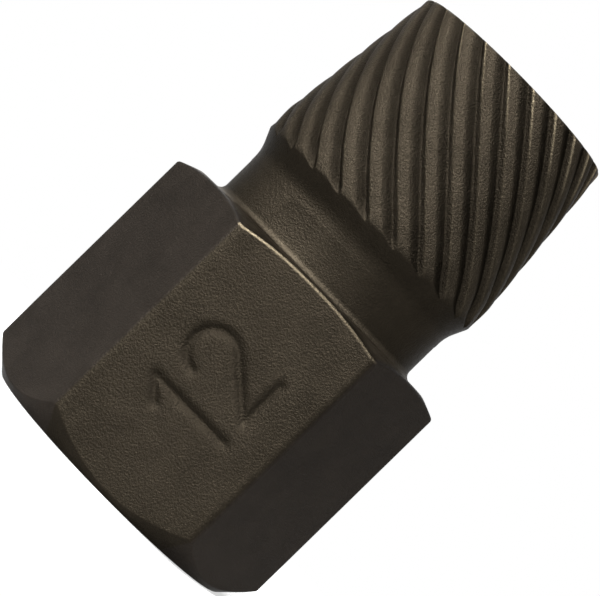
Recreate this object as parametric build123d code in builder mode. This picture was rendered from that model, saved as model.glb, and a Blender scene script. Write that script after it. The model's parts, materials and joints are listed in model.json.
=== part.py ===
"""A multi-spline screw extractor, in one piece.

It is driven through a square hole or by a spanner on its hexagon. Its tapered end carries
left-hand helical splines, which bite into a drilled hole when the tool is turned anticlockwise.

The frame: the origin is the centre of the drive-end face, +Z runs along the axis to the tip,
two flats of the hexagon face -Y and +Y, and two of its corners lie on -X and +X.
"""

import os
from math import atan, cos, degrees, radians, sin, sqrt, tan

from build123d import *

# Hexagon: its spanner size, its length from the drive-end face to the shoulder, its rounded corners
hex_across_flats = 16.0
hex_length = 14.3
hex_corner_radius = 0.55

# Chamfer of the drive end: how far its ring lies inside the flats, and its angle to the end face
drive_end_inset = 0.3
drive_end_chamfer_angle = 45.0

# Chamfer of the shoulder, which is flatter and rolls over softly into the shoulder face
shoulder_inset = 0.15
shoulder_chamfer_angle = 22.5
shoulder_edge_radius = 1.5

# Neck, with a small slanted corner where it leaves the shoulder
neck_diameter = 13.18
neck_length = 2.85
neck_corner = 0.25

# Splined end: it flares out from the neck, stays level over a short land and then tapers evenly to the tip
flare_length = 1.4
spline_base_diameter = 14.3
spline_land_length = 1.2
spline_tip_diameter = 12.33
spline_length = 9.95
flare_start_radius = 2.2
flare_crest_radius = 0.5
tip_chamfer = 0.2

# Grooves between the splines: their number, the length of one full left-hand turn, and their section,
# which falls gently from the trailing side of one spline and rises steeply to the biting edge of the next.
# The two flanks are given in degrees round the axis, so that they narrow with the taper.
spline_count = 23
spline_lead = 42.9
groove_depth = 0.29
groove_gentle_angle = 8.3
groove_steep_angle = 3.4
groove_angle_at_tip = 7.1

# How far each groove's cut runs above the splines and past the tip, and how many sections shape it
cut_clearance = 0.15
cut_overrun = 1.0
cut_sections = 9

# Square drive hole: the square, the pilot hole it was broached from, its countersunk mouth, and the ring
# that catches the spring ball of the drive
drive_square = 9.6
drive_square_depth = 11.0
drive_corner_radius = 0.6
pilot_diameter = 9.5
pilot_extra_depth = 1.2
drill_point_angle = 118.0
mouth_diameter = 10.8
ball_ring_diameter = 10.6
ball_ring_width = 2.6
ball_ring_height = 5.5

# Heights and radii that follow from these sizes
neck_end = hex_length + neck_length
spline_start = neck_end + flare_length
overall_length = spline_start + spline_length
neck_radius = neck_diameter / 2
taper_start = spline_start + spline_land_length
taper_slope = (spline_base_diameter - spline_tip_diameter) / 2 / (overall_length - taper_start)


def groove_corner(height, outwards, turned):
    """A corner of the groove's section at this height, outwards from the cone that the spline tops lie on
    and turned by some degrees from the bottom of the groove towards the biting edge."""
    cone_radius = spline_tip_diameter / 2 + (overall_length - height) * taper_slope
    left_turn = 360 * (overall_length - height) / spline_lead
    angle = radians(groove_angle_at_tip + left_turn + turned)
    radius = cone_radius + outwards
    return (radius * cos(angle), radius * sin(angle))


# The cut of one groove, lofted through level sections that turn and shrink with the cone. It starts at the
# foot of the flare, outside the neck, so each groove runs out on the flare by itself.
with BuildPart() as groove_cut:
    cut_length = overall_length + cut_overrun - neck_end
    flank_reach = 1 + cut_clearance / groove_depth
    for section in range(cut_sections):
        height = neck_end + cut_length * section / (cut_sections - 1)
        with BuildSketch(Plane.XY.offset(height)):
            Polygon(
                groove_corner(height, cut_clearance, -flank_reach * groove_gentle_angle),
                groove_corner(height, -groove_depth, 0),
                groove_corner(height, cut_clearance, flank_reach * groove_steep_angle),
                align=None,
            )
    loft()

with BuildPart() as extractor_body:
    # The hexagon bar, with its corners rounded
    with BuildSketch() as hexagon:
        RegularPolygon(radius=hex_across_flats / 2, side_count=6, major_radius=False)
        fillet(hexagon.vertices(), radius=hex_corner_radius)
    extrude(amount=hex_length)

    # Both ends of the bar turned to their chamfers
    drive_ring = hex_across_flats / 2 - drive_end_inset
    shoulder_ring = hex_across_flats / 2 - shoulder_inset
    corner_reach = hex_across_flats / sqrt(3)
    drive_end_rise = (corner_reach - drive_ring) * tan(radians(drive_end_chamfer_angle))
    shoulder_fall = (corner_reach - shoulder_ring) * tan(radians(shoulder_chamfer_angle))
    with BuildSketch(Plane.XZ) as turned_ends:
        with BuildLine():
            FilletPolyline(
                (0, 0),
                (drive_ring, 0),
                (corner_reach, drive_end_rise),
                (corner_reach, hex_length - shoulder_fall),
                (shoulder_ring, hex_length),
                (0, hex_length),
                radius=(0, 0, 0, shoulder_edge_radius),
            )
            Line((0, hex_length), (0, 0))
        make_face()
    revolve(axis=Axis.Z, mode=Mode.INTERSECT)

    # The neck, the flare and the tapered end, turned in one with the shoulder
    with BuildSketch(Plane.XZ) as shank:
        with BuildLine():
            neck_foot = neck_radius + neck_corner
            FilletPolyline(
                (0, hex_length / 2),
                (neck_foot, hex_length / 2),
                (neck_foot, hex_length),
                (neck_radius, hex_length + neck_corner),
                (neck_radius, neck_end),
                (spline_base_diameter / 2, spline_start),
                (spline_base_diameter / 2, taper_start),
                (spline_tip_diameter / 2, overall_length),
                (0, overall_length),
                radius=(0, 0, 0, flare_start_radius, flare_crest_radius, 0, 0),
            )
            Line((0, overall_length), (0, hex_length / 2))
        make_face()
    revolve(axis=Axis.Z)
    tip_edge = extractor_body.edges().filter_by(GeomType.CIRCLE).sort_by(Axis.Z)[-1]
    chamfer(tip_edge, length=tip_chamfer)

    # The grooves, evenly round the axis
    with PolarLocations(radius=0, count=spline_count):
        add(groove_cut.part, mode=Mode.SUBTRACT)

    # The square drive hole, with rounded corners
    with BuildSketch() as drive_section:
        Rectangle(drive_square, drive_square)
        fillet(drive_section.vertices(), radius=drive_corner_radius)
    extrude(amount=drive_square_depth, mode=Mode.SUBTRACT)

    # The pilot hole with its drill point, below the square
    pilot_radius = pilot_diameter / 2
    pilot_depth = drive_square_depth + pilot_extra_depth
    drill_point = pilot_radius / tan(radians(drill_point_angle / 2))
    with BuildSketch(Plane.XZ) as pilot_hole:
        with BuildLine():
            Polyline(
                (0, drive_square_depth / 2),
                (pilot_radius, drive_square_depth / 2),
                (pilot_radius, pilot_depth),
                (0, pilot_depth + drill_point),
                close=True,
            )
        make_face()
    revolve(axis=Axis.Z, mode=Mode.SUBTRACT)

    # The countersunk mouth of the hole, at 45 degrees
    with BuildSketch(Plane.XZ) as mouth:
        with BuildLine():
            Polyline((0, 0), (mouth_diameter / 2, 0), (0, mouth_diameter / 2), close=True)
        make_face()
    revolve(axis=Axis.Z, mode=Mode.SUBTRACT)

    # The turned ring, which leaves one shallow pocket in each wall of the square
    with BuildSketch(Plane.XZ) as ball_ring:
        with Locations((0, ball_ring_height)):
            Rectangle(ball_ring_diameter / 2, ball_ring_width, align=(Align.MIN, Align.CENTER))
    revolve(axis=Axis.Z, mode=Mode.SUBTRACT)

extractor_body.part.label = "extractor_body"

os.makedirs("parts", exist_ok=True)
export_step(extractor_body.part, "parts/extractor_body.step")

print("overall length", round(overall_length, 2), "mm")
print("half angle of the taper", round(degrees(atan(taper_slope)), 2), "degrees")
print("volume", round(extractor_body.part.volume), "cubic mm in", len(extractor_body.part.solids()), "solid")
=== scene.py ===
# %% [markdown]
# A multi-spline screw extractor, dressed for the camera. The real tool is one bar of tool steel: a
# hexagon for the spanner, a turned neck, and a tapered end with left-hand splines that bite into a
# drilled hole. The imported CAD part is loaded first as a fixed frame. It holds the sizes, so nothing
# here may grow past its box. Everything in this file is only about how the steel looks.

import json
from math import atan2, cos, hypot, pi, radians, sin, sqrt, tan

import bmesh
import bpy
import numpy as np
from mathutils import Matrix, Vector

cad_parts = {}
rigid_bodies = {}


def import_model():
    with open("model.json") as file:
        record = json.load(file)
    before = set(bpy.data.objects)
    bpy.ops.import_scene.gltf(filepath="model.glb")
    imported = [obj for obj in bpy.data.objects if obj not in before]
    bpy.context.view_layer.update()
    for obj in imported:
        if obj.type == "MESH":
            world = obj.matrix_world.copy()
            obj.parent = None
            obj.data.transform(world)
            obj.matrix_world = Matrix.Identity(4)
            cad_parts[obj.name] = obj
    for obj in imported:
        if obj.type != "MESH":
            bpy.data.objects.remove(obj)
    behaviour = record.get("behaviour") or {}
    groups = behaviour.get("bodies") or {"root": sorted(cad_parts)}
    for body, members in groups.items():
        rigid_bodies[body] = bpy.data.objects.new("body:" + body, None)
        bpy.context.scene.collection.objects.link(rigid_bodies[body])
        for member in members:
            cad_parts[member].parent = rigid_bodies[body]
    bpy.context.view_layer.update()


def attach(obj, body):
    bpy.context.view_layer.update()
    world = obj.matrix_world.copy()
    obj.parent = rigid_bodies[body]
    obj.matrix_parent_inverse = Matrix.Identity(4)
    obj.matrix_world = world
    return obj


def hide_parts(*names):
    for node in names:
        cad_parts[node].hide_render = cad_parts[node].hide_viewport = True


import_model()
MM = 0.001

# %% [markdown]
# The camera comes first, because it decides how large every detail is in the picture. The photograph
# was taken from about 15 cm with a long lens, square to one flat of the hexagon, and turned so that
# the tool lies across the picture. The distance shows in how much the nearer rims of both ends bulge.
# The tool stands upright here, so the camera rolls instead: its right and up directions are given
# as two directions in the frame, and a matrix is built from them.

# %% Camera
CAMERA_DISTANCE = 147 * MM
CAMERA_LENS = 174.9
CAMERA_HEIGHT = 13.34 * MM
CAMERA_SIDE = 0.08 * MM
CAMERA_ROLL = radians(45.7)
CAMERA_TURN = radians(-1.2)

camera = bpy.data.objects.new("Camera", bpy.data.cameras.new("Camera"))
bpy.context.collection.objects.link(camera)
bpy.context.scene.camera = camera
camera.data.lens = CAMERA_LENS
camera.data.clip_start = 1 * MM
camera.data.clip_end = 5.0

towards_tool = Vector((sin(-CAMERA_TURN), cos(CAMERA_TURN), 0))
level_right = Vector((towards_tool.y, -towards_tool.x, 0))
upright = Vector((0, 0, 1))
right = cos(CAMERA_ROLL) * level_right + sin(CAMERA_ROLL) * upright
up = -sin(CAMERA_ROLL) * level_right + cos(CAMERA_ROLL) * upright
place = CAMERA_SIDE * level_right + CAMERA_HEIGHT * upright - CAMERA_DISTANCE * towards_tool
camera.matrix_world = Matrix((
    (right.x, up.x, -towards_tool.x, place.x),
    (right.y, up.y, -towards_tool.y, place.y),
    (right.z, up.z, -towards_tool.z, place.z),
    (0, 0, 0, 1),
))
print("camera", round(CAMERA_DISTANCE / MM), "mm away with a", CAMERA_LENS, "mm lens")

# %% [markdown]
# Colours are written as the hex values that a painter would pick from the screen. Blender's shaders
# want linear light, so one function converts them. One more function adds a node: it sets its
# properties and its sockets, and links whatever is given as another node's output.

# %% Colour and node helpers
def colour(hex_value):
    """A hex colour as linear red, green, blue and alpha."""
    channels = [int(hex_value[i:i + 2], 16) / 255 for i in (1, 3, 5)]
    return (*[c / 12.92 if c <= 0.04045 else ((c + 0.055) / 1.055) ** 2.4 for c in channels], 1.0)


def add_node(tree, kind, settings=None, **sockets):
    """A new node. Settings are its properties. Each socket is a value, or another socket to link."""
    node = tree.nodes.new(kind)
    for name, value in (settings or {}).items():
        setattr(node, name, value)
    for name, value in sockets.items():
        key = int(name[1:]) if name[1:].isdigit() else name.replace("_", " ")
        if isinstance(value, bpy.types.NodeSocket):
            tree.links.new(value, node.inputs[key])
        else:
            node.inputs[key].default_value = value
    return node


print("the helper turns #808080 into", round(colour("#808080")[0], 3))

# %% [markdown]
# The picture's background is plain white. The world is a white studio: camera rays and reflections
# see it at full strength, so the steel mirrors the same white that the viewer sees, and the light
# that it sheds on matt surfaces is softer, to leave room for the lamps. The floor is white paper.
# Part of its brightness is its own for those same rays, so the tool's shadow stays, but pale.

# %% World and floor
SOFT_LIGHT = 0.35
FLOOR_SIZE = 3.0
FLOOR_DROP = 0.01 * MM
FLOOR_OWN_WHITE = 0.6
SHADOW_REACH = (14 * MM, 60 * MM)

world = bpy.data.worlds.new("white_studio")
bpy.context.scene.world = world
world.use_nodes = True
world.node_tree.nodes.clear()


def seen_directly(tree):
    """1 for a ray from the camera, a reflection or a ray through glass, and 0 for the others."""
    path = add_node(tree, "ShaderNodeLightPath")
    seen = path.outputs["Is Camera Ray"]
    for other in ("Is Glossy Ray", "Is Transmission Ray"):
        larger = add_node(
            tree, "ShaderNodeMath", {"operation": "MAXIMUM"}, _0=seen, _1=path.outputs[other],
        )
        seen = larger.outputs[0]
    return seen


strength = add_node(
    world.node_tree, "ShaderNodeMapRange", None,
    Value=seen_directly(world.node_tree), To_Min=SOFT_LIGHT, To_Max=1.0,
)
sky = add_node(
    world.node_tree, "ShaderNodeBackground", None,
    Color=colour("#ffffff"), Strength=strength.outputs["Result"],
)
add_node(world.node_tree, "ShaderNodeOutputWorld", None, Surface=sky.outputs["Background"])

bpy.ops.mesh.primitive_plane_add(size=FLOOR_SIZE, location=(0, 0, -FLOOR_DROP))
floor = bpy.context.object
floor.name = "floor"
paper = bpy.data.materials.new("white_paper")
paper.use_nodes = True
paper.node_tree.nodes.clear()
matt = add_node(paper.node_tree, "ShaderNodeBsdfDiffuse", None, Color=colour("#f8f8f8"))
glow = add_node(paper.node_tree, "ShaderNodeEmission", None, Color=colour("#ffffff"), Strength=1.0)
place_on_floor = add_node(paper.node_tree, "ShaderNodeNewGeometry")
from_tool = add_node(
    paper.node_tree, "ShaderNodeVectorMath", {"operation": "LENGTH"},
    _0=place_on_floor.outputs["Position"],
)
own_white = add_node(
    paper.node_tree, "ShaderNodeMapRange", {"interpolation_type": "SMOOTHSTEP"},
    Value=from_tool.outputs["Value"], From_Min=SHADOW_REACH[0], From_Max=SHADOW_REACH[1],
    To_Min=FLOOR_OWN_WHITE, To_Max=1.0,
)
share = add_node(
    paper.node_tree, "ShaderNodeMath", {"operation": "MULTIPLY"},
    _0=seen_directly(paper.node_tree), _1=own_white.outputs["Result"],
)
blend = add_node(
    paper.node_tree, "ShaderNodeMixShader", None,
    Fac=share.outputs[0], _1=matt.outputs[0], _2=glow.outputs[0],
)
add_node(paper.node_tree, "ShaderNodeOutputMaterial", None, Surface=blend.outputs[0])
floor.data.materials.append(paper)
print("floor of white paper,", FLOOR_SIZE, "m wide")

# %% [markdown]
# The photograph's light comes from one side, as from a window: it falls from beyond the tip and from
# the upper left of the picture. Dull metal shows nothing but soft mirror images of its lamps, so each
# lamp has a part of the steel to brighten: the walls of the sunk strokes, the splines, the marked
# flat, the flat beside it, the back of the tool, and the far flat. A lamp's power is found from the
# light that it should bring to the tool, so that moving it doesn't change the exposure.

# %% Lamps
LAMP_DISTANCE = 0.5


def softbox(name, azimuth, elevation, width, height, level):
    """A flat lamp aimed at the middle of the tool. Azimuth turns from the camera towards +X, and level
    is its light on a surface that faces it, where 1 shows white paper as white."""
    aim = Vector((0, 0, CAMERA_HEIGHT))
    a, e = radians(azimuth), radians(elevation)
    back = Vector((sin(a) * cos(e), -cos(a) * cos(e), sin(e)))
    data = bpy.data.lights.new(name, "AREA")
    data.shape = "RECTANGLE"
    data.size, data.size_y = width, height
    data.energy = level * pi * pi * LAMP_DISTANCE ** 2
    lamp = bpy.data.objects.new(name, data)
    bpy.context.collection.objects.link(lamp)
    lamp.location = aim + LAMP_DISTANCE * back
    lamp.rotation_mode = "QUATERNION"
    lamp.rotation_quaternion = back.to_track_quat("Z", "Y")
    print(name, "at", azimuth, elevation, "degrees gives", round(data.energy, 2), "W")


softbox("tip_light", -11, 59, 0.34, 0.22, 2.3)
softbox("window_light", -56, 32, 0.42, 0.2, 3.1)
softbox("front_light", 6, 4, 0.4, 0.12, 0.42)
softbox("side_light", -115, 7, 0.22, 0.14, 0.26)
softbox("back_light", -165, 40, 0.3, 0.3, 0.6)
softbox("far_light", 120, 7, 0.2, 0.2, 0.06)

# %% [markdown]
# The steel body is one piece, and nearly all of it was turned or rolled round one axis. So its skin can
# be laid out as a stack of rings: one long walk along the profile, from the bottom of the square hole,
# out over the drive end, up the hexagon and the neck, along the splines and in over the tip. A ring may
# follow a hexagon, a square or a wavy circle. Booleans on simple solids could make the same shape, but
# their edges would stay knife sharp, while this steel has every edge rounded by blasting. The sizes
# are those of the CAD part, in millimetres.

# %% Sizes of the body
FLAT = 8.0
HEX_LENGTH = 14.3
HEX_CORNER = 0.55
DRIVE_RING = 7.7
DRIVE_CHAMFER = radians(45)
SHOULDER_RING = 7.93
SHOULDER_CHAMFER = radians(22.5)
NECK_RADIUS = 6.59
NECK_END = 17.15
TAPER_START = 19.75
LENGTH = 28.5
BASE_RADIUS = 7.15
TIP_RADIUS = 6.165

# %% [markdown]
# Two helpers do most of the work. The first rounds the corners of a line with arcs that always have the
# same number of points, so that every column of the skin has matching rows. The second keeps the
# skin: points, faces, and for each point how worn and how grainy the steel is there, and a tone that is
# partly its own and partly painted light and shade, which the material reads later.

# %% Helpers for the skin
points, faces, worn, grainy, point_tones_and_shading = [], [], [], [], []


def rounded_line(corners):
    """Points of a line. Each corner is (x, y, radius, steps), and a radius of 0 leaves it as it is."""
    line = []
    for i, (x, y, radius, steps) in enumerate(corners):
        here = np.array((x, y))
        if radius == 0:
            line.append(here)
            continue
        before, after = np.array(corners[i - 1][:2]), np.array(corners[i + 1][:2])
        back = (before - here) / np.linalg.norm(before - here)
        ahead = (after - here) / np.linalg.norm(after - here)
        half = np.arccos(back @ ahead) / 2
        centre = here + (back + ahead) / np.linalg.norm(back + ahead) * radius / sin(half)
        first, last = here + back * radius / tan(half) - centre, here + ahead * radius / tan(half) - centre
        turn = pi - 2 * half
        for step in range(steps + 1):
            t = step / steps
            line.append(centre + (sin((1 - t) * turn) * first + sin(t * turn) * last) / sin(turn))
    return line


def add_ring(places, wear=0.0, grain=1.0, tone_and_shading=1.0):
    """Adds a ring of points and returns their numbers. Wear, grain and tone, which also carries painted
    light and shade, are each one value, or one for each point."""
    start = len(points)
    points.extend(places)
    for kept, value in ((worn, wear), (grainy, grain), (point_tones_and_shading, tone_and_shading)):
        kept.extend(np.broadcast_to(value, len(places)))
    return list(range(start, len(points)))


def bridge(ring, next_ring):
    """Quads between two rings with equal numbers of points."""
    for j, k in zip(range(len(ring)), [*range(1, len(ring)), 0]):
        faces.append((ring[j], ring[k], next_ring[k], next_ring[j]))


def turn_of(number):
    """The angle of this point round the axis."""
    return atan2(points[number][1], points[number][0])


def remainder_turn(angle):
    """An angle brought to between minus and plus half a turn."""
    return (angle + pi) % (2 * pi) - pi


def zip_rings(ring, next_ring):
    """Triangles between two rings with different numbers of points, in step by their angles."""
    from_first = [abs(remainder_turn(turn_of(number) - turn_of(ring[0]))) for number in next_ring]
    start = from_first.index(min(from_first))
    ring, other = ring + ring[:1], next_ring[start:] + next_ring[:start + 1]
    i = j = 0
    while i < len(ring) - 1 or j < len(other) - 1:
        gap = 1.0
        if i < len(ring) - 1 and j < len(other) - 1:
            gap = remainder_turn(turn_of(other[j + 1]) - turn_of(ring[i + 1]))
        if j == len(other) - 1 or (i < len(ring) - 1 and gap >= 0):
            faces.append((ring[i], ring[i + 1], other[j]))
            i += 1
        else:
            faces.append((ring[i], other[j + 1], other[j]))
            j += 1


# %% [markdown]
# The square drive hole comes first. The real one is drilled, broached square and countersunk, and a
# turned ring inside catches the spring ball of the drive. Its columns stand on the outline of the
# square with rounded corners. Where a cone or the ring is wider than the square, the radius is
# simply the larger of the two, and the exact crossing places are columns of their own.

# %% Square drive hole
SQUARE = 4.8
SQUARE_CORNER = 0.6
SQUARE_DEPTH = 11.0
PILOT_RADIUS = 4.75
PILOT_DEPTH = 12.2
DRILL_POINT = radians(59)
MOUTH_RADIUS = 5.4
BALL_RING_RADIUS = 5.3
BALL_RING = (4.2, 6.8)
CORNER_STEPS = 8
SIDE_COLUMNS = (0.7, 1.5, 3.3)
# Painted shade: the walls of the hole get a darker tone, for the shade inside the recess
HOLE_GRAIN, HOLE_PAINTED_SHADE = 0.5, 0.6

mouth_crossing = sqrt(MOUTH_RADIUS ** 2 - SQUARE ** 2)
ring_crossing = sqrt(BALL_RING_RADIUS ** 2 - SQUARE ** 2)
side_columns = (*SIDE_COLUMNS, ring_crossing, mouth_crossing)
along_side = sorted([0.0, *[s * x for s in (-1, 1) for x in side_columns]])


def round_outline(sides, distance, corner_radius, stations):
    """Points round a regular shape: its sides' points at these stations, and its corners as arcs."""
    outline = []
    for side in range(sides):
        facing = -pi / 2 + side * 2 * pi / sides
        out, along = np.array((cos(facing), sin(facing))), np.array((-sin(facing), cos(facing)))
        outline += [distance * out + s * along for s in stations(side)]
        middle = facing + pi / sides
        centre = (distance - corner_radius) / cos(pi / sides) * np.array((cos(middle), sin(middle)))
        for step in range(CORNER_STEPS + 1):
            angle = facing + 2 * pi / sides * step / CORNER_STEPS
            outline.append(centre + corner_radius * np.array((cos(angle), sin(angle))))
    return outline


def ring_at(angles, radii, height):
    """Places round the axis, at one height, or at one for each place."""
    heights = np.broadcast_to(height, len(angles))
    return [(r * cos(a), r * sin(a), h) for a, r, h in zip(angles, radii, heights)]


square = round_outline(4, SQUARE, SQUARE_CORNER, lambda side: along_side)
square_angles = [atan2(y, x) for x, y in square]
wall = np.array([hypot(x, y) for x, y in square])
mouth_start = np.maximum(MOUTH_RADIUS - wall, 0)
pocket = np.maximum(wall, BALL_RING_RADIUS)
apex = add_ring([(0, 0, PILOT_DEPTH + PILOT_RADIUS / tan(DRILL_POINT))])[0]
hole_rows = [
    (np.full(len(wall), PILOT_RADIUS), PILOT_DEPTH), (np.full(len(wall), PILOT_RADIUS), SQUARE_DEPTH),
    (wall, SQUARE_DEPTH), (wall, BALL_RING[1]), (pocket, BALL_RING[1]), (pocket, BALL_RING[0]),
    (wall, BALL_RING[0]), (wall, mouth_start), (np.maximum(wall, MOUTH_RADIUS), 0.0),
]
hole = [
    add_ring(ring_at(square_angles, radii, height), grain=HOLE_GRAIN, tone_and_shading=HOLE_PAINTED_SHADE)
    for radii, height in hole_rows
]
for j in range(len(wall)):
    faces.append((apex, hole[0][(j + 1) % len(wall)], hole[0][j]))
for lower, upper in zip(hole, hole[1:]):
    bridge(lower, upper)
print("square hole:", len(wall), "columns and", len(hole), "rows")

# %% [markdown]
# The hexagon's columns stand on its outline. Each one runs out over the drive-end face, up the turned
# chamfer, along the flat and in over the shoulder's flatter chamfer to the neck. Where a cone meets a
# flat, the height differs from column to column, and that alone draws the curved edges that every
# turned hexagon has. The flat towards the camera gets narrow columns, because the size mark is
# sunk there. The shoulder carries the brightest line of the tool. Its edge is worn on that side, most
# towards -X, and the strip behind the edge gets a painted highlight: a lighter tone that stands in for
# the window's reflection, which the neck hides from the lamps.

# %% Hexagon and neck
EDGE_ROUND = 0.16
SHOULDER_EDGE_ROUND = 0.2
SHOULDER_SOFTNESS = 0.24
NECK_FILLET, NECK_FILLET_GAP = 0.42, 0.02
SHOULDER_STEPS = 12
FACE_START = 7.1
MARK_STEP = 0.06
MARK_COLUMNS, MARK_ROWS = 104, 128
MARK_WIDTH = MARK_COLUMNS * MARK_STEP
MARK_MIDDLE = 7.3
MARK_LOW = MARK_MIDDLE - MARK_ROWS // 2 * MARK_STEP
MARK_HIGH = MARK_MIDDLE + MARK_ROWS // 2 * MARK_STEP
MARK_MARGIN = (3.4, 3.7, 3.9, 4.1)
PLAIN_HALF_WIDTH, PLAIN_COLUMNS = 4.0, 17
NECK_TOP = 16.4

# How strongly each part is blasted, how bright and worn its oxide is, and a painted highlight
BLASTED, SMOOTHER, NECK_GRAIN = 0.8, 0.5, 0.6
HEXAGON_TONE, NECK_TONE = 0.94, 1.0
SHOULDER_WEAR = 0.27
SHOULDER_WEAR_FALL = 0.09
# Painted highlight: a lighter tone on the strip between the shoulder's edge and the neck, for a reflection
SHOULDER_PAINTED_SHEEN = 2.2

# Rows of a hexagon column, counted from the drive end
MARK_LOW_ROW = 10
SHOULDER_EDGE_ROWS = (12, 18)
NECK_GRAIN_ROW = 20

mark_places = np.linspace(-MARK_WIDTH / 2, MARK_WIDTH / 2, MARK_COLUMNS + 1)
marked_flat = [*[-s for s in reversed(MARK_MARGIN)], *mark_places, *MARK_MARGIN]
plain_flat = list(np.linspace(-PLAIN_HALF_WIDTH, PLAIN_HALF_WIDTH, PLAIN_COLUMNS))
hexagon = round_outline(6, FLAT, HEX_CORNER, lambda side: plain_flat if side else marked_flat)
hexagon_angles = [atan2(y, x) for x, y in hexagon]
first_mark = len(MARK_MARGIN)
last_mark = first_mark + MARK_COLUMNS


def shoulder_height(radius):
    """Height of the turned shoulder, which bends softly from its level face into its chamfer."""
    past = radius - SHOULDER_RING
    return HEX_LENGTH - tan(SHOULDER_CHAMFER) * (past + np.hypot(past, SHOULDER_SOFTNESS)) / 2


def hexagon_column(reach):
    """The profile above one point of the outline, which is this far from the axis."""
    chamfer_rise = (reach - DRIVE_RING) * tan(DRIVE_CHAMFER)
    shoulder_radii = np.linspace(reach - SHOULDER_EDGE_ROUND, NECK_RADIUS + NECK_FILLET, SHOULDER_STEPS)
    shoulder = [(r, shoulder_height(r)) for r in shoulder_radii]
    return rounded_line([
        (FACE_START, 0, 0, 0),
        (DRIVE_RING, 0, EDGE_ROUND, 3),
        (reach, chamfer_rise, EDGE_ROUND, 4),
        (reach, MARK_LOW, 0, 0),
        (reach, MARK_HIGH, 0, 0),
        (reach, shoulder_height(reach), SHOULDER_EDGE_ROUND, 6),
        *[(r, z, 0, 0) for r, z in shoulder],
        (NECK_RADIUS, shoulder[-1][1], NECK_FILLET - NECK_FILLET_GAP, 6),
        (NECK_RADIUS, NECK_TOP, 0, 0),
    ])


columns = np.array([hexagon_column(hypot(x, y)) for x, y in hexagon])
edge_start, edge_end = SHOULDER_EDGE_ROWS
neck_row = columns.shape[1] - 2
edge_wear = np.array([
    (1 - SHOULDER_WEAR_FALL * (x + PLAIN_HALF_WIDTH)) * (y < 0.2 - FLAT) for x, y in hexagon
])
hexagon_grain = np.array([BLASTED if y < 0.1 - FLAT else SMOOTHER for x, y in hexagon])
hexagon_rings = []
for row in range(columns.shape[1]):
    along_edge = (row - edge_start) / (edge_end - edge_start)
    wear = SHOULDER_WEAR * edge_wear * sin(pi * along_edge) if 0 < along_edge < 1 else 0.0
    grain = hexagon_grain if row < NECK_GRAIN_ROW else NECK_GRAIN
    past_edge = (row - edge_end) / (neck_row - edge_end)
    tone_and_shading = HEXAGON_TONE
    # Past the shoulder's edge the tone gets the painted highlight, up to the neck
    if past_edge > 0:
        tone_and_shading = NECK_TONE + SHOULDER_PAINTED_SHEEN * sin(pi * min(past_edge, 1))
    places = ring_at(hexagon_angles, columns[:, row, 0], columns[:, row, 1])
    hexagon_rings.append(add_ring(places, wear, grain, tone_and_shading))
zip_rings(hole[-1], hexagon_rings[0])
for row, (lower, upper) in enumerate(zip(hexagon_rings, hexagon_rings[1:])):
    if row != MARK_LOW_ROW:
        bridge(lower, upper)
print("hexagon:", len(hexagon), "columns,", len(hexagon_rings), "rows")

# %% [markdown]
# The size mark is struck in before blasting, so its strokes are channels with straight walls, a narrow
# bottom and soft lips. It has to be real geometry, because its walls catch the light. It is a plain
# number in single-line figures, as on a rule or a dial, laid out in one cell per figure and centred on
# the flat. The steel sinks by a smooth function of the distance to the nearest stroke. The number reads
# along the axis, with its head towards -X.

# %% Figures of the size mark
FIGURE_HEIGHT = 4.6
FIGURE_WIDTH = 2.5
FLAG_WIDTH, FLAG_DROP = 1.0, 0.9
BOWL_START, BOWL_END = 170, -35
FIGURE_GAP = 1.35
STROKE_HALF_WIDTH = 0.66
STROKE_STRAIGHT = 0.2
STROKE_SLOPE = 0.66
SMOOTHINGS = 2


def arc(middle, radius, first, last, steps=16):
    """Points on an arc in the flat, as (height on the tool, place across it). 0 degrees points to the tip
    and 90 degrees to the figures' heads."""
    turns = [radians(first + (last - first) * step / steps) for step in range(steps + 1)]
    return [(middle[0] + radius * cos(t), middle[1] - radius * sin(t)) for t in turns]


head, foot = -FIGURE_HEIGHT / 2, FIGURE_HEIGHT / 2
number_start = MARK_MIDDLE - (FLAG_WIDTH + FIGURE_GAP + FIGURE_WIDTH) / 2
one_stem = number_start + FLAG_WIDTH
two_start = one_stem + FIGURE_GAP
bowl = FIGURE_WIDTH / 2
one = [(number_start, head + FLAG_DROP), (one_stem, head), (one_stem, foot)]
two = [
    *arc((two_start + bowl, head + bowl), bowl, BOWL_START, BOWL_END),
    (two_start, foot), (two_start + FIGURE_WIDTH, foot),
]
strokes = [one, two]


def stroke_distance(heights, places, strokes):
    """Distance of each point of the flat to the nearest of these strokes."""
    nearest = np.full(heights.shape, np.inf)
    for stroke in strokes:
        for (h0, p0), (h1, p1) in zip(stroke, stroke[1:]):
            dh, dp = h1 - h0, p1 - p0
            t = np.clip(((heights - h0) * dh + (places - p0) * dp) / (dh * dh + dp * dp), 0, 1)
            nearest = np.minimum(nearest, np.hypot(heights - h0 - t * dh, places - p0 - t * dp))
    return nearest


def stroke_depth(distance):
    """Depth of a stroke: straight walls beside its middle line, and then a rounded lip."""
    lip = STROKE_HALF_WIDTH - STROKE_STRAIGHT
    from_edge = np.clip(STROKE_HALF_WIDTH - distance, 0, lip)
    return STROKE_SLOPE * (from_edge ** 3 / (3 * lip ** 2) + np.clip(STROKE_STRAIGHT - distance, 0, None))


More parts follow.
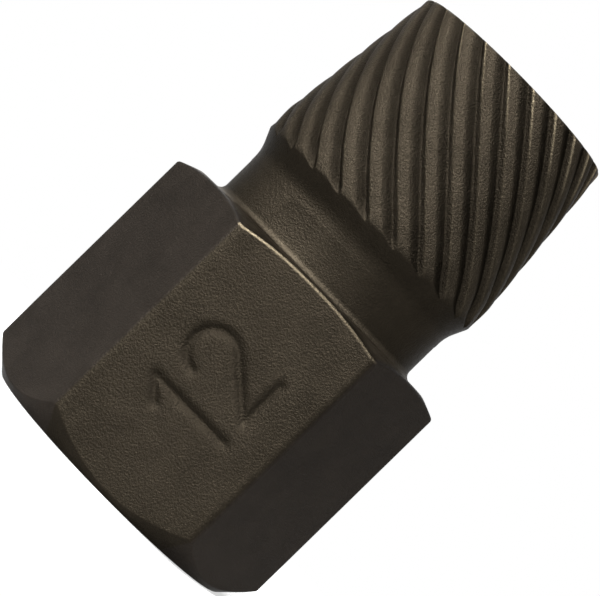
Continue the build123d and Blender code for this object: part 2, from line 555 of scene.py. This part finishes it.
mark_heights = np.linspace(MARK_LOW, MARK_HIGH, MARK_ROWS + 1)
heights, places = np.meshgrid(mark_heights[1:-1], mark_places, indexing="ij")
sunk = stroke_depth(stroke_distance(heights, places, strokes))
for turn in range(SMOOTHINGS):
    sunk[1:-1] = (sunk[:-2] + 2 * sunk[1:-1] + sunk[2:]) / 4
    sunk[:, 1:-1] = (sunk[:, :-2] + 2 * sunk[:, 1:-1] + sunk[:, 2:]) / 4
patch = [hexagon_rings[MARK_LOW_ROW][first_mark:last_mark + 1]]
for height, depths in zip(mark_heights[1:-1], sunk):
    places = [(x, depth - FLAT, height) for x, depth in zip(mark_places, depths)]
    patch.append(add_ring(places, tone_and_shading=HEXAGON_TONE))
patch.append(hexagon_rings[MARK_LOW_ROW + 1][first_mark:last_mark + 1])
for lower, upper in zip(patch, patch[1:]):
    for j in range(MARK_COLUMNS):
        faces.append((lower[j], lower[j + 1], upper[j + 1], upper[j]))
print("mark: strokes up to", round(sunk.max(), 2), "mm deep on a grid of", MARK_STEP, "mm")

# %% [markdown]
# The fine grid of the mark ends inside the flat. The faces around it are as tall as the whole flat, so
# the two beside the grid take its edge points into their own outline. They are plane, which keeps such
# many-sided faces clean.

# %% Faces round the mark
lower, upper = hexagon_rings[MARK_LOW_ROW], hexagon_rings[MARK_LOW_ROW + 1]
left_edge, right_edge = [row[0] for row in patch], [row[-1] for row in patch]
for j in range(len(hexagon)):
    k = (j + 1) % len(hexagon)
    if j == first_mark - 1:
        faces.append((lower[j], *left_edge, upper[j]))
    elif j == last_mark:
        faces.append((*reversed(right_edge), lower[k], upper[k]))
    elif not first_mark <= j < last_mark:
        faces.append((lower[j], lower[k], upper[k], upper[j]))
print("faces so far:", len(faces))

# %% [markdown]
# The splines are what the tool is for. Each has a broad land. Its groove falls from the back of one land
# and rises steeply to the biting edge of the next, and all of them wind left-handed round the cone.
# The skin's columns wind with them, so a column stays in one place of the groove's section from the
# flare to the tip, and the biting edges come out as clean lines. The section is written as a few corners
# over one groove, which are then blurred together, as blasting and rolling leave no sharp edge.
# Towards the flare the cutter left the steel, so the grooves' bottoms rise and end in blunt lobes.

# %% Profile of the splined end
SPLINES = 23
LEAD = 42.9
GROOVE_DEPTH = 0.32
RUN_OUT_START, RUN_OUT_RADIUS, RUN_OUT_SLOPE = 18.12, 7.03, 0.5
GROOVE_ANGLE_AT_TIP = radians(6.8)
GROOVE_CORNERS = [(0.0, 0.0), (0.18, 0.93), (0.38, 1.0), (0.57, 0.93), (0.72, 0.55), (1.0, 0.0)]
GROOVE_SOFTNESS = 0.045
# Painted light and shade over one groove: brighter on the lands and biting walls, darker on the falling
# walls
GROOVE_PAINTED_SHADING = [
    (0.0, 1.1), (0.1, 1.15), (0.2, 1.35), (0.3, 1.4), (0.55, 1.4), (0.76, 0.55), (0.93, 0.45), (1.0, 0.8),
]
BOTTOM_ROUND = 0.1
END_ROUND = 0.04
TIP_ROUND, TIP_STEPS = 0.3, 8
FLARE_START = 16.5
FLARE_CREST = (7.11, 18.3)
LOBES = (18.1, 18.8)
LAND_END = 20.6
FACE_RIM = 0.4

profile = np.array(rounded_line([
    (NECK_RADIUS, FLARE_START, 0, 0),
    (NECK_RADIUS, NECK_END, 2.2, 12),
    (*FLARE_CREST, 0.35, 8),
    (BASE_RADIUS, TAPER_START, 9.0, 8),
    (TIP_RADIUS, LENGTH, TIP_ROUND, TIP_STEPS),
    (0, LENGTH, 0, 0),
]))
tip_edge = profile[-TIP_STEPS - 2:-1]
row_heights = np.concatenate([
    np.linspace(FLARE_START, LOBES[0], 18), np.linspace(*LOBES, 19)[1:],
    np.linspace(LOBES[1], LAND_END, 12)[1:], np.linspace(LAND_END, tip_edge[0][1], 38)[1:],
])
below_tip = profile[:-TIP_STEPS - 1]
rows = [(np.interp(z, below_tip[:, 1], below_tip[:, 0]), z) for z in row_heights]
rows += [(r, z) for r, z in tip_edge[1:]]
column_shares = np.array([
    0, 0.03, 0.07, 0.12, 0.16, 0.185, 0.2, 0.215, 0.23, 0.25, 0.28, 0.33,
    0.4, 0.47, 0.54, 0.6, 0.64, 0.67, 0.7, 0.73, 0.77, 0.84, 0.91, 0.96,
])
spline_shares = np.tile(column_shares, SPLINES)
spline_turns = np.repeat(np.arange(SPLINES), len(column_shares)) + spline_shares


def smooth_min(a, b, reach):
    """The smaller of a and b, with a rounded change-over of this reach."""
    h = np.clip(0.5 + 0.5 * (b - a) / reach, 0, 1)
    return b * (1 - h) + a * h - reach * h * (1 - h)


fine_shares = np.arange(1000) / 1000
sharp_section = np.interp(fine_shares, *zip(*GROOVE_CORNERS))
blur = np.exp(-(np.minimum(fine_shares, 1 - fine_shares) / GROOVE_SOFTNESS) ** 2 / 2)
soft_section = np.fft.ifft(np.fft.fft(sharp_section) * np.fft.fft(blur / blur.sum())).real
section = GROOVE_DEPTH * np.interp(spline_shares, fine_shares, soft_section, period=1)


def spline_ring(profile_radius, height):
    """Angles and radii of the ring at this height."""
    cone = TIP_RADIUS + (LENGTH - height) * (BASE_RADIUS - TIP_RADIUS) / (LENGTH - TAPER_START)
    run_out = RUN_OUT_RADIUS - (height - RUN_OUT_START) * RUN_OUT_SLOPE
    bottom = -smooth_min(-min(cone, BASE_RADIUS) + GROOVE_DEPTH, -run_out, BOTTOM_ROUND)
    angles = GROOVE_ANGLE_AT_TIP + 2 * pi * ((LENGTH - height) / LEAD + spline_turns / SPLINES)
    outermost = np.full(len(section), profile_radius + END_ROUND / 2)
    return angles, smooth_min(outermost, bottom + section, END_ROUND)


print("section of one spline:", len(column_shares), "columns, up to", round(section.max(), 2), "mm high")

# %% [markdown]
# The rings of the splined end also carry the looks. The biting edges are rubbed a little, and more
# towards the tip. The grain is coarser on the splines than on the neck. The tone goes over from the
# neck's own to a painted shade on the flare, which faces away from the lamps, and then to the painted
# light and shade of the splines' section: painted highlights on the lands and the biting walls, and
# painted shade on the falling walls.

# %% Splined end
CREST_WEAR, TIP_WEAR = 0.03, 0.4
CREST_WIDTH = 0.035
SPLINE_GRAIN = 1.1
# Painted shade: the flare faces away from the lamps, so its colour is darkened
FLARE_PAINTED_SHADE = 0.75

crest = np.exp(-((spline_shares - GROOVE_CORNERS[1][0]) / CREST_WIDTH) ** 2)
section_painted_shading = np.interp(spline_shares, *zip(*GROOVE_PAINTED_SHADING))


def change_over(height, start, reach):
    """0 below the start and 1 from this reach above it, with an even change between."""
    return np.clip((height - start) / reach, 0, 1)


spline_rings = []
for profile_radius, height in rows:
    angles, radii = spline_ring(profile_radius, height)
    on_flare = change_over(height, 16.9, 0.5)
    on_splines = change_over(height, 18.2, 0.6)
    near_tip = change_over(height, 26, 2.5)
    wear = on_splines * crest * (CREST_WEAR + (TIP_WEAR - CREST_WEAR) * near_tip)
    grain = NECK_GRAIN + on_splines * (SPLINE_GRAIN - NECK_GRAIN)
    # The neck's own tone, then the flare's painted shade, then the section's painted light and shade
    tone_and_shading = NECK_TONE + on_flare * (FLARE_PAINTED_SHADE - NECK_TONE) + on_splines * (section_painted_shading - FLARE_PAINTED_SHADE)
    spline_rings.append(add_ring(ring_at(angles, radii, height), wear, grain, tone_and_shading))
zip_rings(hexagon_rings[-1], spline_rings[0])
for lower, upper in zip(spline_rings, spline_rings[1:]):
    bridge(lower, upper)
rim_angles = [turn_of(number) for number in spline_rings[-1]]
rim = add_ring(ring_at(rim_angles, [profile[-2][0] - FACE_RIM] * len(rim_angles), LENGTH))
bridge(spline_rings[-1], rim)
faces.append(tuple(rim))
print("splined end:", len(spline_turns), "columns,", len(rows), "rows")

# %% [markdown]
# Now the lists become one mesh. Points that fell on the same place are merged, because a zero-sized face
# would spoil the shading. Edges where the surface really breaks, such as those of the hole, are marked
# sharp by their angle. The weighted-normal modifier lets the large faces decide the shading, so a flat
# stays flat right up to its rounded edge.

# %% Body mesh
SHARP_ANGLE = radians(38)
SAME_PLACE = 0.0005 * MM
ZERO_SIZE = 0.0001 * MM

mesh = bpy.data.meshes.new("extractor")
mesh.from_pydata([(x * MM, y * MM, z * MM) for x, y, z in points], [], faces)
for name, values in (("wear", worn), ("grain", grainy), ("tone_and_shading", point_tones_and_shading)):
    mesh.attributes.new(name, "FLOAT", "POINT").data.foreach_set("value", np.array(values, np.float32))
skin = bmesh.new()
skin.from_mesh(mesh)
bmesh.ops.remove_doubles(skin, verts=skin.verts, dist=SAME_PLACE)
bmesh.ops.dissolve_degenerate(skin, edges=skin.edges, dist=ZERO_SIZE)
open_edges = sum(not edge.is_manifold for edge in skin.edges)
volume = skin.calc_volume(signed=True) / MM ** 3
skin.to_mesh(mesh)
skin.free()
mesh.shade_smooth()
mesh.set_sharp_from_angle(angle=SHARP_ANGLE)
body = bpy.data.objects.new("extractor", mesh)
bpy.context.collection.objects.link(body)
weighted = body.modifiers.new("even_shading", "WEIGHTED_NORMAL")
weighted.keep_sharp = True
triangles = sum(len(face.vertices) - 2 for face in mesh.polygons)
print("body:", triangles, "triangles,", open_edges, "open edges,", round(volume), "cubic mm")

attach(body, "root")
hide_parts("extractor_body")

# %% [markdown]
# The finish is hardened tool steel, shot-blasted and then blackened, which leaves a thin brown-black
# oxide. To the eye it is a dark metal with a broad, dull shine and a fine sandy grain. It keeps its
# metallic value of 1 and the default IOR, and its edge tint is grey, because the pitted oxide doesn't
# brighten at a grazing angle as polished steel does.

# %% Colours and scales of the blasted steel
GRAIN_SIZE = 0.11
CLOUD_SIZE = 2.2
DENT_DEPTH = 0.085
DENT_TONES = (0.8, 1.2)
CLOUD_TONES = (0.82, 1.18)
ROUGHNESSES = (0.36, 0.42)
BLASTED_OXIDE, SMOOTH_OXIDE = colour("#231f19"), colour("#27231f")
BARE_STEEL = colour("#a89a80")
EDGE_TINT = colour("#bcbcbc")

steel = bpy.data.materials.new("blasted_black_oxide_steel")
steel.use_nodes = True
tree = steel.node_tree
shader = tree.nodes["Principled BSDF"]
shader.inputs["Metallic"].default_value = 1.0
shader.inputs["Specular Tint"].default_value = EDGE_TINT
in_metres = add_node(tree, "ShaderNodeTexCoord").outputs["Object"]
wear = add_node(tree, "ShaderNodeAttribute", {"attribute_name": "wear"}).outputs["Fac"]
grain = add_node(tree, "ShaderNodeAttribute", {"attribute_name": "grain"}).outputs["Fac"]
place_tone_and_shading = add_node(tree, "ShaderNodeAttribute", {"attribute_name": "tone_and_shading"}).outputs["Fac"]
print("grain of", GRAIN_SIZE, "mm is a noise scale of", round(1 / (GRAIN_SIZE * MM)))

# %% [markdown]
# Shot leaves overlapping dents about as wide as its grains, here 0.11 mm. One noise of that size makes
# the bump, and the same noise darkens the dents a little. A much wider noise gives the cloudy
# patches that an oxide bath leaves. The grain attribute says how strongly the shot bit: most on the
# splines and inside the mark's grid, less on the neck, and least on the other flats, where the oxide
# is also less brown. The tone attribute scales the colour. It is the oxide's own tone on the flats and
# the neck, and elsewhere painted light and shade: painted highlights on the lands and behind the
# shoulder, and painted shade on the grooves' falling walls, on the flare and in the square hole.

# %% Grain and clouds
def noise(size, detail):
    """A noise whose patches are about this size in mm."""
    return add_node(
        tree, "ShaderNodeTexNoise", None,
        Vector=in_metres, Scale=1 / (size * MM), Detail=detail, Roughness=0.7,
    ).outputs["Fac"]


def stretch(value, start, end, low, high):
    """A value that runs from start to end, stretched to run from low to high and held there."""
    return add_node(
        tree, "ShaderNodeMapRange", None,
        Value=value, From_Min=start, From_Max=end, To_Min=low, To_Max=high,
    ).outputs[0]


def times(a, b, clamp=False):
    """The product of two values, held between 0 and 1 if clamp is set."""
    settings = {"operation": "MULTIPLY", "use_clamp": clamp}
    return add_node(tree, "ShaderNodeMath", settings, _0=a, _1=b).outputs[0]


dents = noise(GRAIN_SIZE, 3.0)
clouds = noise(CLOUD_SIZE, 5.0)
browner = stretch(grain, SMOOTHER, NECK_GRAIN, 0.0, 1.0)
oxide = add_node(tree, "ShaderNodeMix", {"data_type": "RGBA"}, Factor=browner)
oxide.inputs[6].default_value, oxide.inputs[7].default_value = SMOOTH_OXIDE, BLASTED_OXIDE
dent_tone = stretch(dents, 0.3, 0.7, *DENT_TONES)
cloud_tone = stretch(clouds, 0.3, 0.7, *CLOUD_TONES)
tone_and_shading = times(times(dent_tone, cloud_tone), place_tone_and_shading)
mottled = add_node(
    tree, "ShaderNodeVectorMath", {"operation": "SCALE"}, _0=oxide.outputs[2], Scale=tone_and_shading,
)
print("oxide of", len(tree.nodes), "nodes so far")

# %% [markdown]
# Where the tool has rubbed, the oxide is gone and pale steel shows: along the shoulder's edge and on the
# biting edges. The wear attribute says where that can be, and the dents' noise breaks it up, because
# rubbing takes the high spots first. The clouds make the shine a little uneven, and the dents' bump is
# as strong as the grain attribute says.

# %% Wear
bare = times(wear, stretch(dents, 0.35, 0.65, 0.55, 1.3), clamp=True)
finish = add_node(tree, "ShaderNodeMix", {"data_type": "RGBA"}, Factor=bare, _6=mottled.outputs[0])
finish.inputs[7].default_value = BARE_STEEL
tree.links.new(finish.outputs[2], shader.inputs["Base Color"])
tree.links.new(stretch(clouds, 0.3, 0.7, *ROUGHNESSES), shader.inputs["Roughness"])
bump = add_node(tree, "ShaderNodeBump", None, Strength=grain, Distance=DENT_DEPTH * MM, Height=dents)
tree.links.new(bump.outputs["Normal"], shader.inputs["Normal"])
body.data.materials.append(steel)
print("steel with", len(tree.nodes), "nodes")

# %% View transform
bpy.context.scene.view_settings.view_transform = "Standard"
